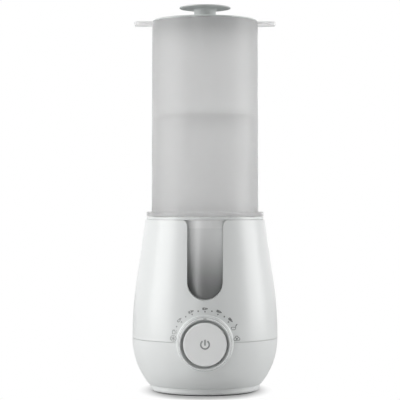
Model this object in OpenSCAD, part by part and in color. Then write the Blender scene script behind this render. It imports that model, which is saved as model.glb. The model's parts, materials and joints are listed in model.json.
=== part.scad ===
// Bottle warmer with a lift-off steam sterilizing tube.
// A flared base holds a heated chamber, which an upright slot shows.
// A dial turns round a push button on the front, which faces -Y, and +Z is up.
// The origin lies on the floor, under the middle of the base.

/* [Base] */
// Widest diameter of the base, at the seam of its two housings
body_d = 130.4; // [126:0.2:138]
// Diameter of the base at its top edge
neck_d = 107; // [106:0.2:110]
// Height of the base, from the floor to its top edge
base_h = 153; // [148:0.5:165]
// Height of the seam, and of the dial's axis
seam_z = 47.5; // [46:0.5:50]
// Height of the corner that the flare rounds off
flare_z = 73; // [66:0.5:85]
// Wall of both housings
shell_t = 2.4; // [2:0.1:2.8]
// Width of the viewing slot
slot_w = 30.8; // [20:0.2:34]
// Height of the viewing slot's lowest point
slot_z = 84.2; // [82:0.2:100]
// Widening of the slot at each top corner
slot_flare = 2.9; // [1:0.1:4.5]
// Radius of the slot's rounded top corners
slot_round = 6.8; // [5:0.1:12]

/* [Foot] */
// Diameter of the plinth under the base
foot_d = 98.4; // [97:0.2:101.5]
// Height of the crease between the plinth and the base
foot_h = 6.5; // [6:0.1:7.5]
// How far the rubber pad stands out of the plinth
foot_gap = 0.8; // [0.5:0.1:1.2]
// Diameter of the rubber pad
pad_d = 92; // [88:0.5:94]

/* [Chamber] */
// Inside diameter of the heated chamber
chamber_d = 90; // [86:0.2:91]
// Wall of the chamber
chamber_t = 2.2; // [1.8:0.1:2.4]
// Gap between the dial's collar and the chamber's underside
chamber_room = 1; // [0.8:0.1:4]
// Diameter of the ring on the base's top edge
rim_d = 105; // [104:0.2:106]
// Height of that ring
rim_h = 2.7; // [2.2:0.1:5]
// Diameter of the heater plate
heater_d = 76; // [74:0.5:78]
// Middle diameter of the heating element's loop
element_d = 48; // [44:0.5:52]

/* [Dial] */
// Diameter of the fixed collar round the dial
bezel_d = 48; // [46.5:0.1:50]
// Diameter of the dial at its front lip
dial_d = 44.4; // [42:0.2:46]
// Diameter of the push button
button_d = 37.1; // [30:0.1:38]
// How far the button's face stands in front of the base
dial_reach = 11.4; // [10:0.2:16]
// Travel of the push button
button_travel = 0.8; // [0.4:0.1:1]
// Teeth of the gear behind the dial
gear_teeth = 40; // [40:2:42]
// Teeth of the encoder's pinion
pinion_teeth = 18; // [18:2:20]
// Size of a gear tooth, pitch diameter over teeth
gear_module = 0.9; // [0.86:0.01:0.92]

/* [Tube] */
// Outside diameter of the tube just above its flange
tube_d = 95.8; // [95:0.1:97]
// Outside diameter of the tube at its rim
tube_top_d = 94.8; // [94.2:0.1:95.8]
// Height of the tube, from its flange's underside to its rim
tube_h = 174.8; // [150:0.2:200]
// Wall of the tube
tube_t = 2; // [1.6:0.1:2.2]
// Diameter of the tube's flange
flange_d = 105.2; // [102:0.2:108]
// Height of the tube's flange
flange_h = 4.5; // [3:0.1:8]
// How far the tube's skirt enters the chamber
skirt_h = 9.7; // [6:0.1:14]
// Distance across the two handle tabs
tab_span = 126.7; // [115:0.1:140]
// Width of a handle tab
tab_w = 20; // [16:0.5:30]
// Thickness of a handle tab
tab_t = 3; // [2:0.1:4]
// Height of the tray's seat above the flange's underside
tray_h = 90.8; // [60:0.2:120]

/* [Lid] */
// Diameter of the lid
lid_d = 93.6; // [92:0.1:96]
// Thickness of the lid
lid_t = 1.6; // [1.2:0.1:3]
// How far the lid's plug enters the tube
plug_h = 7.5; // [4:0.1:12]
// Diameter of the knob's cap
knob_d = 46; // [30:0.5:60]
// Diameter of the knob's stem
knob_stem_d = 19.4; // [14:0.2:26]
// Height of the knob above the lid
knob_h = 12.8; // [9:0.2:20]

/* [Fits] */
// Clearance round a seated piece
seat = 0.3; // [0.2:0.05:0.4]
// Radial clearance of a turning or sliding fit
run = 0.05; // [0.03:0.01:0.08]

/* [Hidden] */
$fn = 96;

// Extra length that carries a cut past the face it opens
over = 1;
body_r = body_d / 2;
chamber_r = chamber_d / 2;
chamber_out = chamber_r + chamber_t;

// Flare of the upper housing: an arc from the seam, then a straight taper to the top
taper = atan((body_d - neck_d) / 2 / (base_h - flare_z));
flare_t = flare_z - seam_z;
flare_r = flare_t / tan(taper / 2);
flare_steps = 8;
slot_steps = 6;
function taper_r(z) = neck_d / 2 + (base_h - z) * tan(taper);

// Screws, all of one family: thread, head diameter and head height
screw_d = 2.6;
head_d = 5.4;
head_h = 2;
drive_l = 3.6;
drive_w = 0.8;
drive_d = 1.2;
pilot_r = screw_d / 2 + run;
clear_r = screw_d / 2 + seat;
boss_r = 3.6;

// Bottom cover, the pad under it and the screws that the pad hides
cover_t = 2.4;
foot_round = 2;
pad_sink = 1.2;
pad_bevel = 0.4;
cover_top = foot_gap + cover_t;
cover_screw_r = 41;
cover_screw_angle = 45;
cover_pad_t = 2.8;
cover_pad_r = 4.6;
cover_boss_z = cover_top + cover_pad_t;
cover_head_z = foot_gap + pad_sink + head_h + seat;
cover_boss_h = 18;
cover_screw_l = 14;
ledge_r = 41;

// Screw wells that pull the upper housing down on the lower one
well_pcd = 91;
well_turns = [20, 160, 200, 340];
well_r = 4.5;
well_bore_r = head_d / 2 + seat;
well_drop = 6;
well_top = seam_z - well_drop;
well_floor = 3;
housing_screw_l = 12;
housing_boss_h = 21;
rib_t = 3;
rib_h = 9;
rib_sink = 0.6;

// Lap joint at the seam, and the shadow line round it
groove_h = 0.5;
groove_d = 0.8;
lap_h = 4;
lap_t = 2;
lap_out = body_r - shell_t - seat / 2;

// Cord entry in the back
cord_z = 20;
cord_boss_r = 8.5;
cord_boss_l = 12;
cord_hole_r = 3.4;
bushing_r = 5;
bushing_flange_r = 7.4;
bushing_flange_t = 2;
bushing_lip_r = 6.2;
cord_face_y = sqrt(pow(body_r, 2) - pow(seam_z - cord_z - bushing_flange_r, 2)) + seat;

// Chamber flange and rim ring
flange_lip_t = 1.2;
rim_wall = 2;
flange_lip_r = rim_d / 2 - rim_wall;
rim_bore_r = chamber_r + seat;

// Heater stack below the chamber's floor
chamber_z = seam_z + bezel_d / 2 + chamber_room;
gasket_t = 2;
gasket_w = 4;
plate_t = 1.2;
plate_z = chamber_z - gasket_t - plate_t;
clamp_t = 1.5;
clamp_w = 5;
clamp_rim = 2;
clamp_z = plate_z - clamp_t;
heater_screw_out = 4;
heater_screw_pcd = heater_d + 2 * heater_screw_out;
heater_screw_angle = 90;
heater_ear_r = 4.4;
heater_boss_r = 2.8;
heater_screw_l = 5;
element_tube_r = 3.2;
element_flat = 0.4;
element_gap = 40;
element_z = plate_z - element_tube_r + element_flat;
element_pin_r = 1.5;
element_leg = 5;
element_pin = 7;
sensor_r = 5;
sensor_h = 8;
sensor_flange_r = 6.5;
sensor_flange_t = 1;
sensor_x = 8.5;
cutout_r = 7.5;
cutout_h = 6;
cutout_x = -9.5;
cutout_tab = [3, 0.8, 6];
lead_r = 1.1;
crimp_r = 1.9;
crimp_l = 6;

// Dial, from the button's face back: distances are to the front of the base's axis
face_f = body_r + dial_reach;
lip_back = 0.4;
lip_f = face_f - lip_back;
dish_depth = 5;
web_f = lip_f - dish_depth;
web_t = 2.2;
dial_play = 0.4;
bezel_f = web_f - web_t - dial_play;
bezel_sink = 13.2;
bezel_flange_f = body_r - bezel_sink;
bezel_flange_t = 2;
bezel_flange_r = 30.5;
bezel_wall = 2.2;
bezel_draft = 0.8;
bezel_hole_r = bezel_d / 2 + seat;
bezel_screw_pcd = 55;
bezel_screw_angle = 45;
bezel_screw_l = 6;
hub_r = 15;
hub_bore_r = 12.3;
hub_step = 1.6;
bearing_t = 2.2;
dial_flank = 0.7;
lip_t = 0.8;
button_gap = 0.9;
dish_r = button_d / 2 + button_gap;
gear_t = 4;
gear_front = bezel_flange_f - bezel_flange_t - dial_play;
gear_back = gear_front - gear_t;
post_l = 6;
post_x = 26;
post_y = 8;
post_r = 3;
carrier_front = bezel_flange_f - bezel_flange_t - post_l;
carrier_t = 2;
carrier_back = carrier_front - carrier_t;
carrier_h = 24;
carrier_edge = 1;
carrier_w = 2 * (post_x + post_r + carrier_edge);
standoff_l = 3;
board_front = carrier_back - standoff_l;
board_t = 1.6;
board_back = board_front - board_t;
control_screw_l = 12;
stem_r = 8;
stem_wall = 1.4;
guide_t = 2.4;
guide_back = 1.2;
guide_f = web_f - guide_back;
key_w = 2;
key_h = 0.9;
button_t = 2.2;
button_bevel = 0.5;
switch_w = 6;
switch_h = 3.6;
plunger_r = 1.75;
plunger_out = 1.6;
plunger_top = board_front + switch_h + plunger_out;
plunger_l = 3.2;

// Involute teeth
pressure = 20;
tooth_gap = 0.12;
gear_pitch_r = gear_module * gear_teeth / 2;
pinion_pitch_r = gear_module * pinion_teeth / 2;
pinion_drop = gear_pitch_r + pinion_pitch_r;
flank_steps = 3;
root_depth = 1.25 * gear_module;
shaft_r = 2.95;
encoder_w = 12;
encoder_l = gear_back - dial_play - board_front;
encoder_floor = 1.5;
control_w = 58;
control_top = 13;
control_edge = 1;
control_bottom = -pinion_drop - encoder_w / 2 - control_edge;

// Power board over the bottom cover
power_z = 14;
power_w = 48;
power_y = [-24, 34];
power_hole_x = 20;
power_hole_y = [-20, 30];
power_post_r = 3.4;
power_screw_l = 8;
parts_z = power_z + board_t;
relay_size = [19, 15.4, 15];
relay_at = [-13, -4];
capacitor_r = 5.2;
capacitor_h = 16;
capacitor_at = [14, -11];
capacitor_groove = 0.5;
capacitor_groove_h = 1;
capacitor_groove_z = 1.5;
transformer_size = [20, 17, 15];
transformer_core = [12, 22, 10];
transformer_lift = 2;
transformer_at = [11.5, 6];
block_size = [26, 9, 10];
block_hole_l = 3;
lead_x = element_d / 2 * sin(element_gap / 2);
lead_y = element_d / 2 * cos(element_gap / 2);

// Tube, tray and lid
tube_z = base_h + rim_h;
rim_z = tube_z + tube_h;
skirt_gap = 0.4;
skirt_r = chamber_r - skirt_gap;
skirt_t = 2;
floor_t = 2.4;
floor_bar = 4;
floor_bars = 3;
floor_hub_r = 14;
floor_ring_r = 30;
tray_z = tube_z + tray_h;
tray_seat_w = 2;
tray_seat_t = 2;
tray_t = 2;
tray_rim_h = 5;
tray_wall = 1.6;
tray_gap = 0.4;
tray_r = tube_top_d / 2 - tube_t - tray_gap;
tray_holes = 8;
tray_hole_r = 6;
tray_hole_pcd = 62;
tray_vents = 4;
tray_vent_r = 4;
tray_vent_pcd = 30;
tab_round = 4;
plug_gap = 0.5;
plug_r = tube_top_d / 2 - tube_t - plug_gap;
plug_t = 2;
vent_r = 1.5;
vent_pcd = 64;
vents = 3;
cap_t = 2.8;
cap_crown = 0.8;
cap_flat = 0.01;
cap_arc_r = (pow(knob_d / 2, 2) + pow(cap_crown, 2)) / 2 / cap_crown;
fine_fn = 360;
knob_screw_l = 8;
function tube_r(z) = tube_d / 2 + (tube_top_d - tube_d) / 2 * (z - tube_z) / tube_h;

// Revolved ring between two radii
module ring(r_in, r_out, h) {
    rotate_extrude() translate([r_in, 0]) square([r_out - r_in, h]);
}

// Copies on a circle
module around(count, pcd, turn = 0) {
    for (k = [0 : count - 1]) rotate(turn + 360 * k / count) translate([pcd / 2, 0, 0]) children();
}

// Turns local +Z to the front and local +Y up, about the dial's axis
module to_front() {
    translate([0, 0, seam_z]) rotate([90, 0, 0]) children();
}

// Mirrored copies at the four corners of a rectangle
module corners(x, y) {
    for (sx = [-x, x], sy = [-y, y]) translate([sx, sy, 0]) children();
}

// Screw whose head stands on z = 0 and whose thread runs down
module screw(length) {
    difference() {
        union() {
            cylinder(d = head_d, h = head_h);
            translate([0, 0, -length]) cylinder(d = screw_d, h = length + over);
        }
        for (turn = [0, 90]) rotate(turn)
            translate([-drive_l / 2, -drive_w / 2, head_h - drive_d])
                cube([drive_l, drive_w, drive_d + over]);
    }
}

// Solid inside the upper housing's outline, drawn in by inset and cut off at top
module flare(inset, top) {
    arc = [for (k = [0 : flare_steps])
        let (lean = taper * k / flare_steps)
        [body_r - inset - flare_r * (1 - cos(lean)), seam_z + flare_r * sin(lean)]];
    rotate_extrude() polygon(concat([[0, seam_z]], arc, [[taper_r(top) - inset, top], [0, top]]));
}

// Slice of the ball that the lower housing is cut from
module ball_slice(r, z_low, z_high) {
    intersection() {
        translate([0, 0, seam_z]) sphere(r = r);
        translate([-body_d, -body_d, z_low]) cube([2 * body_d, 2 * body_d, z_high - z_low]);
    }
}

// Upright slot with a round bottom, as a bar that runs to the front
module slot_bar(half_w, top) {
    slot_mid = slot_z + slot_w / 2 - seam_z;
    to_front() translate([0, 0, chamber_r / 2]) linear_extrude(body_d) {
        translate([0, slot_mid]) circle(r = half_w);
        translate([-half_w, slot_mid]) square([2 * half_w, top - seam_z - slot_mid]);
    }
}

// Mouth of the slot at the base's top edge, which two round corners widen
module slot_mouth() {
    half_w = slot_w / 2;
    sweep = acos(1 - slot_flare / slot_round);
    low = base_h - seam_z - slot_round * sin(sweep);
    corner = [for (k = [0 : slot_steps + 1])
        let (angle = sweep * k / slot_steps)
        [half_w + slot_round * (1 - cos(angle)), low + slot_round * sin(angle)]];
    other = [for (k = [slot_steps + 1 : -1 : 0]) [-corner[k].x, corner[k].y]];
    to_front() translate([0, 0, chamber_r / 2]) linear_extrude(body_d) polygon(concat(corner, other));
}

// Pilot holes for the bezel's screws in the housings
module bezel_pilots() {
    to_front() around(4, bezel_screw_pcd, bezel_screw_angle)
        translate([0, 0, bezel_flange_f - over])
            cylinder(r = pilot_r, h = bezel_screw_l - bezel_flange_t + seat + over);
}

// Bosses behind the wall that the bezel's flange seats on
module bezel_bosses() {
    to_front() around(4, bezel_screw_pcd, bezel_screw_angle)
        translate([0, 0, bezel_flange_f]) cylinder(r = post_r, h = body_r - bezel_flange_f);
}

module dial_opening() {
    to_front() translate([0, 0, chamber_r]) cylinder(r = bezel_hole_r, h = body_r);
}

module bottom_cover() {
    color("gainsboro") difference() {
        union() {
            translate([0, 0, foot_gap]) rotate_extrude() {
                square([foot_d / 2 - foot_round, cover_t]);
                translate([foot_d / 2 - foot_round, foot_round]) circle(r = foot_round);
                translate([foot_d / 2 - cover_t, foot_round])
                    square([cover_t, foot_h - foot_gap - foot_round]);
            }
            around(4, 2 * cover_screw_r, cover_screw_angle)
                translate([0, 0, foot_gap]) cylinder(r = cover_pad_r, h = cover_t + cover_pad_t);
            for (x = [-power_hole_x, power_hole_x], y = power_hole_y) translate([x, y, foot_gap])
                cylinder(r = power_post_r, h = power_z - foot_gap);
        }
        around(4, 2 * cover_screw_r, cover_screw_angle) {
            cylinder(r = clear_r, h = cover_boss_z + over);
            cylinder(d = head_d + 2 * seat, h = cover_head_z);
        }
        cylinder(d = pad_d + 2 * seat, h = foot_gap + pad_sink);
        for (x = [-power_hole_x, power_hole_x], y = power_hole_y)
            translate([x, y, power_z - power_screw_l]) cylinder(r = pilot_r, h = power_screw_l + over);
    }
}

module base_pad() {
    color("dimgray") rotate_extrude()
        polygon([[0, 0], [pad_d / 2 - pad_bevel, 0], [pad_d / 2, pad_bevel],
            [pad_d / 2, foot_gap + pad_sink], [0, foot_gap + pad_sink]]);
}

module cover_screws() {
    color("silver") around(4, 2 * cover_screw_r, cover_screw_angle)
        translate([0, 0, cover_head_z]) rotate([180, 0, 0]) screw(cover_screw_l);
}

module lower_housing() {
    color("whitesmoke") difference() {
        union() {
            difference() {
                ball_slice(body_r, foot_h, seam_z);
                ball_slice(body_r - shell_t, foot_h + shell_t, seam_z + over);
                cylinder(r = ledge_r, h = seam_z);
            }
            rotate_extrude() polygon([[lap_out - lap_t, seam_z - lap_h],
                [body_r - shell_t / 2, seam_z - lap_h], [body_r - shell_t / 2, seam_z], [lap_out, seam_z],
                [lap_out, seam_z + lap_h], [lap_out - lap_t, seam_z + lap_h]]);
            around(4, 2 * cover_screw_r, cover_screw_angle)
                translate([0, 0, cover_boss_z]) cylinder(r = boss_r, h = cover_boss_h);
            intersection() {
                ball_slice(body_r - shell_t / 2, foot_h, seam_z);
                union() {
                    for (turn = well_turns) rotate(turn) translate([well_pcd / 2, 0, foot_h])
                        cylinder(r = well_r, h = well_top - foot_h);
                    bezel_bosses();
                }
            }
            translate([0, cord_face_y - cord_boss_l, cord_z]) rotate([-90, 0, 0])
                cylinder(r = cord_boss_r, h = cord_boss_l);
        }
        dial_opening();
        bezel_pilots();
        around(4, 2 * cover_screw_r, cover_screw_angle)
            translate([0, 0, cover_boss_z - over]) cylinder(r = pilot_r, h = cover_screw_l);
        for (turn = well_turns) rotate(turn) translate([well_pcd / 2, 0, 0]) {
            cylinder(r = well_bore_r, h = well_top - well_floor);
            cylinder(r = clear_r, h = well_top + over);
        }
        translate([0, cord_face_y - cord_boss_l - over, cord_z]) rotate([-90, 0, 0])
            cylinder(r = bushing_r + run, h = cord_boss_l + 2 * over);
    }
}

module upper_housing() {
    color("white") difference() {
        union() {
            difference() {
                flare(0, base_h);
                flare(shell_t, base_h - shell_t);
                cylinder(r = chamber_out + 2 * seat, h = base_h + over);
            }
            intersection() {
                slot_bar(slot_w / 2 + shell_t, base_h);
                difference() {
                    flare(shell_t / 2, base_h);
                    cylinder(r = chamber_out + 2 * seat, h = base_h + over);
                }
            }
            intersection() {
                bezel_bosses();
                flare(shell_t / 2, base_h);
            }
            for (turn = well_turns) rotate(turn) {
                translate([well_pcd / 2, 0, well_top]) cylinder(r = boss_r, h = housing_boss_h);
                translate([well_pcd / 2, -rib_t / 2, well_top + housing_boss_h - rib_h])
                    cube([body_r - shell_t - well_pcd / 2 + rib_sink, rib_t, rib_h]);
            }
        }
        slot_bar(slot_w / 2, base_h + over);
        slot_mouth();
        translate([0, 0, seam_z - over]) ring(body_r - groove_d, body_r + over, over + groove_h);
        dial_opening();
        bezel_pilots();
        for (turn = well_turns) rotate(turn) translate([well_pcd / 2, 0, well_top - over])
            cylinder(r = pilot_r, h = housing_screw_l + over);
    }
}

module housing_screws() {
    color("silver") for (turn = well_turns) rotate(turn)
        translate([well_pcd / 2, 0, well_top - well_floor]) rotate([180, 0, 0]) screw(housing_screw_l);
}

module cord_bushing() {
    color("gray") translate([0, cord_face_y, cord_z]) rotate([-90, 0, 0]) rotate_extrude()
        polygon([[cord_hole_r, bushing_flange_t], [bushing_flange_r, bushing_flange_t],
            [bushing_flange_r, 0], [bushing_r, 0], [bushing_r, -cord_boss_l], [bushing_lip_r, -cord_boss_l],
            [bushing_r, -cord_boss_l - bushing_flange_t], [cord_hole_r, -cord_boss_l - bushing_flange_t]]);
}

module chamber_cup() {
    color("slategray", 0.6) difference() {
        union() {
            rotate_extrude() polygon([[heater_d / 2 - gasket_w, chamber_z], [chamber_out, chamber_z],
                [chamber_out, base_h], [flange_lip_r, base_h], [flange_lip_r, base_h + flange_lip_t],
                [chamber_r, base_h + flange_lip_t], [chamber_r, chamber_z + chamber_t],
                [heater_d / 2 - gasket_w, chamber_z + chamber_t]]);
            around(3, heater_screw_pcd, heater_screw_angle) translate([0, 0, plate_z])
                cylinder(r = heater_boss_r, h = chamber_z - plate_z + chamber_t / 2);
        }
        around(3, heater_screw_pcd, heater_screw_angle)
            translate([0, 0, plate_z - over]) cylinder(r = pilot_r, h = heater_screw_l - clamp_t + over);
    }
}

module rim_ring() {
    color("gainsboro") translate([0, 0, base_h]) rotate_extrude()
        polygon([[rim_bore_r, flange_lip_t], [flange_lip_r + seat, flange_lip_t], [flange_lip_r + seat, 0],
            [rim_d / 2, 0], [rim_d / 2, rim_h], [rim_bore_r, rim_h]]);
}

module heater_gasket() {
    color("firebrick") translate([0, 0, plate_z + plate_t])
        ring(heater_d / 2 - gasket_w, heater_d / 2, gasket_t);
}

module heater_plate() {
    color("silver") translate([0, 0, plate_z]) cylinder(d = heater_d, h = plate_t);
}

module heater_clamp() {
    color("lightgray") translate([0, 0, clamp_z]) difference() {
        union() {
            ring(heater_d / 2 - clamp_w, heater_d / 2 + clamp_rim, clamp_t);
            around(3, heater_screw_pcd, heater_screw_angle) cylinder(r = heater_ear_r, h = clamp_t);
        }
        around(3, heater_screw_pcd, heater_screw_angle)
            translate([0, 0, -over]) cylinder(r = clear_r, h = clamp_t + 2 * over);
    }
}

module heater_screws() {
    color("silver") around(3, heater_screw_pcd, heater_screw_angle)
        translate([0, 0, clamp_z]) rotate([180, 0, 0]) screw(heater_screw_l);
}

module heating_element() {
    color("darkgray") {
        translate([0, 0, element_z]) rotate(90 + element_gap / 2) rotate_extrude(angle = 360 - element_gap)
            translate([element_d / 2, 0]) intersection() {
                circle(r = element_tube_r);
                translate([-element_tube_r, -element_tube_r])
                    square([2 * element_tube_r, 2 * element_tube_r - element_flat]);
            }
        for (side = [-1, 1]) translate([side * lead_x, lead_y, element_z]) {
            translate([0, 0, -element_leg]) cylinder(r = element_tube_r - element_flat, h = element_leg);
            translate([0, 0, -element_leg - element_pin])
                cylinder(r = element_pin_r, h = element_pin + over);
        }
    }
}

module temperature_sensor() {
    color("goldenrod") translate([sensor_x, 0, plate_z]) {
        translate([0, 0, -sensor_h]) cylinder(r = sensor_r, h = sensor_h);
        translate([0, 0, -sensor_flange_t]) cylinder(r = sensor_flange_r, h = sensor_flange_t);
    }
}

module thermal_cutout() {
    color("tan") translate([cutout_x, 0, plate_z - cutout_h]) {
        cylinder(r = cutout_r, h = cutout_h);
        for (side = [-1, 1]) translate([-cutout_tab.x / 2, side * cutout_r / 2, -cutout_tab.z])
            cube([cutout_tab.x, cutout_tab.y, cutout_tab.z + over]);
    }
}

module heater_leads() {
    pin_z = element_z - element_leg - element_pin;
    block_z = parts_z + block_size.z - block_hole_l;
    color("firebrick") for (side = [-1, 1]) translate([side * lead_x, lead_y, 0]) difference() {
        union() {
            translate([0, 0, block_z]) cylinder(r = lead_r, h = pin_z - block_z);
            translate([0, 0, pin_z - crimp_l / 2]) cylinder(r = crimp_r, h = crimp_l);
        }
        translate([0, 0, pin_z]) cylinder(r = element_pin_r + run, h = crimp_l);
    }
}

module dial_bezel() {
    bearing_r = hub_r + run;
    color("whitesmoke") to_front() difference() {
        union() {
            rotate_extrude() polygon([[bearing_r, bezel_flange_f - bezel_flange_t], [bearing_r, bezel_f],
                [bezel_d / 2 - bezel_draft, bezel_f], [bezel_d / 2, body_r], [bezel_d / 2, bezel_flange_f],
                [bezel_flange_r, bezel_flange_f], [bezel_flange_r, bezel_flange_f - bezel_flange_t],
                [bezel_d / 2 - bezel_wall, bezel_flange_f - bezel_flange_t],
                [bezel_d / 2 - bezel_wall, bezel_f - bezel_wall],
                [bearing_r + bearing_t, bezel_f - bezel_wall],
                [bearing_r + bearing_t, bezel_flange_f - bezel_flange_t]]);
            corners(post_x, post_y) translate([0, 0, carrier_front])
                cylinder(r = post_r, h = post_l + bezel_flange_t / 2);
        }
        corners(post_x, post_y) translate([0, 0, carrier_front - over])
            cylinder(r = pilot_r, h = control_screw_l - carrier_front + board_back + seat + over);
        around(4, bezel_screw_pcd, bezel_screw_angle) translate([0, 0, carrier_front])
            cylinder(r = clear_r, h = body_r);
        translate([-bezel_flange_r, bezel_d / 2 + seat, carrier_front])
            cube([2 * bezel_flange_r, bezel_flange_r, body_r]);
    }
}

module bezel_screws() {
    color("silver") to_front() around(4, bezel_screw_pcd, bezel_screw_angle)
        translate([0, 0, bezel_flange_f - bezel_flange_t]) rotate([180, 0, 0]) screw(bezel_screw_l);
}

module dial_ring() {
    color("white") to_front() rotate_extrude() polygon([[hub_bore_r, gear_back],
        [hub_r - hub_step, gear_back], [hub_r - hub_step, gear_front], [hub_r, gear_front],
        [hub_r, web_f - web_t], [dial_d / 2 + dial_flank, web_f - web_t], [dial_d / 2, lip_f],
        [dial_d / 2 - lip_t, lip_f], [dish_r, web_f], [hub_bore_r, web_f]]);
}

// Angle in degrees between an involute's start on its base circle and the radius r
function involute(base, r) = tan(acos(base / r)) * 180 / PI - acos(base / r);

// Half angle of a tooth at radius r
function half_tooth(teeth, pitch, r) =
    let (base = pitch * cos(pressure))
    90 / teeth - asin(tooth_gap / 2 / pitch) + involute(base, pitch) - involute(base, max(base, r));

// Toothed outline: each tooth climbs one flank from root to tip and comes down the other
module gear_outline(teeth) {
    pitch = gear_module * teeth / 2;
    root = pitch - root_depth;
    tip = pitch + gear_module;
    start = max(root, pitch * cos(pressure));
    radii = concat([root], [for (k = [0 : flank_steps]) start + (tip - start) * k / flank_steps]);
    last = len(radii) - 1;
    polygon([for (tooth = [0 : teeth - 1], side = [-1, 1], k = [0 : last])
        let (r = side < 0 ? radii[k] : radii[last - k],
            angle = 360 * tooth / teeth + side * half_tooth(teeth, pitch, r))
        [r * cos(angle), r * sin(angle)]]);
}

module dial_gear() {
    color("ivory") to_front() translate([0, 0, gear_back]) linear_extrude(gear_t) difference() {
        gear_outline(gear_teeth);
        circle(r = hub_r - hub_step + run);
    }
}

module power_button() {
    color("lightgray") to_front() {
        rotate_extrude() polygon([[0, face_f], [button_d / 2 - button_bevel, face_f],
            [button_d / 2, face_f - button_bevel], [button_d / 2, face_f - button_t],
            [stem_r, face_f - button_t], [stem_r, plunger_top], [0, plunger_top],
            [0, plunger_top + stem_wall], [stem_r - stem_wall, plunger_top + stem_wall],
            [stem_r - stem_wall, face_f - button_t], [0, face_f - button_t]]);
        translate([-key_w / 2, stem_r - stem_wall / 2, carrier_front])
            cube([key_w, key_h + stem_wall / 2, face_f - button_t - carrier_front]);
    }
}

module button_carrier() {
    bore_r = stem_r + run;
    color("gainsboro") to_front() difference() {
        union() {
            translate([-carrier_w / 2, -carrier_h / 2, carrier_back])
                cube([carrier_w, carrier_h, carrier_t]);
            translate([0, 0, carrier_back]) cylinder(r = bore_r + guide_t, h = guide_f - carrier_back);
            corners(post_x, post_y) translate([0, 0, board_front])
                cylinder(r = post_r, h = standoff_l + over);
        }
        translate([0, 0, board_front - over]) cylinder(r = bore_r, h = face_f);
        translate([-key_w / 2 - seat, 0, board_front])
            cube([key_w + 2 * seat, stem_r + key_h + seat, face_f - board_front]);
        corners(post_x, post_y) translate([0, 0, board_front - over])
            cylinder(r = clear_r, h = standoff_l + carrier_t + 2 * over);
    }
}

module switch_plunger() {
    color("dimgray") to_front() translate([0, 0, plunger_top - plunger_l])
        cylinder(r = plunger_r, h = plunger_l);
}

module tact_switch() {
    color("darkslategray") to_front() translate([0, 0, board_front]) difference() {
        translate([-switch_w / 2, -switch_w / 2, 0]) cube([switch_w, switch_w, switch_h]);
        translate([0, 0, plunger_top - plunger_l - button_travel - seat - board_front])
            cylinder(r = plunger_r + run, h = switch_h);
    }
}

module control_board() {
    color("seagreen") to_front() difference() {
        translate([-control_w / 2, control_bottom, board_back])
            cube([control_w, control_top - control_bottom, board_t]);
        corners(post_x, post_y) translate([0, 0, board_back - over])
            cylinder(r = clear_r, h = board_t + 2 * over);
    }
}

module control_screws() {
    color("silver") to_front() corners(post_x, post_y)
        translate([0, 0, board_back]) rotate([180, 0, 0]) screw(control_screw_l);
}

module encoder_body() {
    color("darkseagreen") to_front() translate([0, -pinion_drop, board_front]) difference() {
        translate([-encoder_w / 2, -encoder_w / 2, 0]) cube([encoder_w, encoder_w, encoder_l]);
        translate([0, 0, encoder_floor]) cylinder(r = shaft_r + run, h = encoder_l);
    }
}

module encoder_pinion() {
    color("ivory") to_front() translate([0, -pinion_drop, 0]) {
        translate([0, 0, gear_back]) linear_extrude(gear_t) gear_outline(pinion_teeth);
        translate([0, 0, board_front + encoder_floor + seat])
            cylinder(r = shaft_r, h = gear_front - board_front - encoder_floor - seat);
    }
}

module power_board() {
    color("seagreen") difference() {
        translate([-power_w / 2, power_y[0], power_z]) cube([power_w, power_y[1] - power_y[0], board_t]);
        for (x = [-power_hole_x, power_hole_x], y = power_hole_y)
            translate([x, y, power_z - over]) cylinder(r = clear_r, h = board_t + 2 * over);
    }
}

module board_screws() {
    color("silver") for (x = [-power_hole_x, power_hole_x], y = power_hole_y)
        translate([x, y, parts_z]) screw(power_screw_l);
}

module power_relay() {
    color("royalblue") translate([relay_at.x - relay_size.x / 2, relay_at.y - relay_size.y / 2, parts_z])
        cube(relay_size);
}

module filter_capacitor() {
    color("midnightblue") translate([capacitor_at.x, capacitor_at.y, parts_z]) difference() {
        cylinder(r = capacitor_r, h = capacitor_h);
        translate([0, 0, capacitor_groove_z])
            ring(capacitor_r - capacitor_groove, capacitor_r + over, capacitor_groove_h);
    }
}

module power_transformer() {
    color("darkorange") translate([transformer_at.x, transformer_at.y, parts_z]) {
        translate([-transformer_size.x / 2, -transformer_size.y / 2, 0]) cube(transformer_size);
        translate([-transformer_core.x / 2, -transformer_core.y / 2, transformer_lift])
            cube(transformer_core);
    }
}

module terminal_block() {
    color("forestgreen") translate([0, lead_y, parts_z]) difference() {
        translate([-block_size.x / 2, -block_size.y / 2, 0]) cube(block_size);
        for (side = [-1, 1]) translate([side * lead_x, 0, block_size.z - block_hole_l])
            cylinder(r = lead_r + seat, h = block_hole_l + over);
    }
}

module tab_outline() {
    reach = tab_span / 2;
    square_l = reach - tab_round;
    translate([0, -tab_w / 2]) square([square_l, tab_w]);
    translate([0, -tab_w / 2 + tab_round]) square([reach, tab_w - 2 * tab_round]);
    for (side = [-1, 1]) translate([square_l, side * (tab_w / 2 - tab_round)]) circle(r = tab_round);
}

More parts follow.
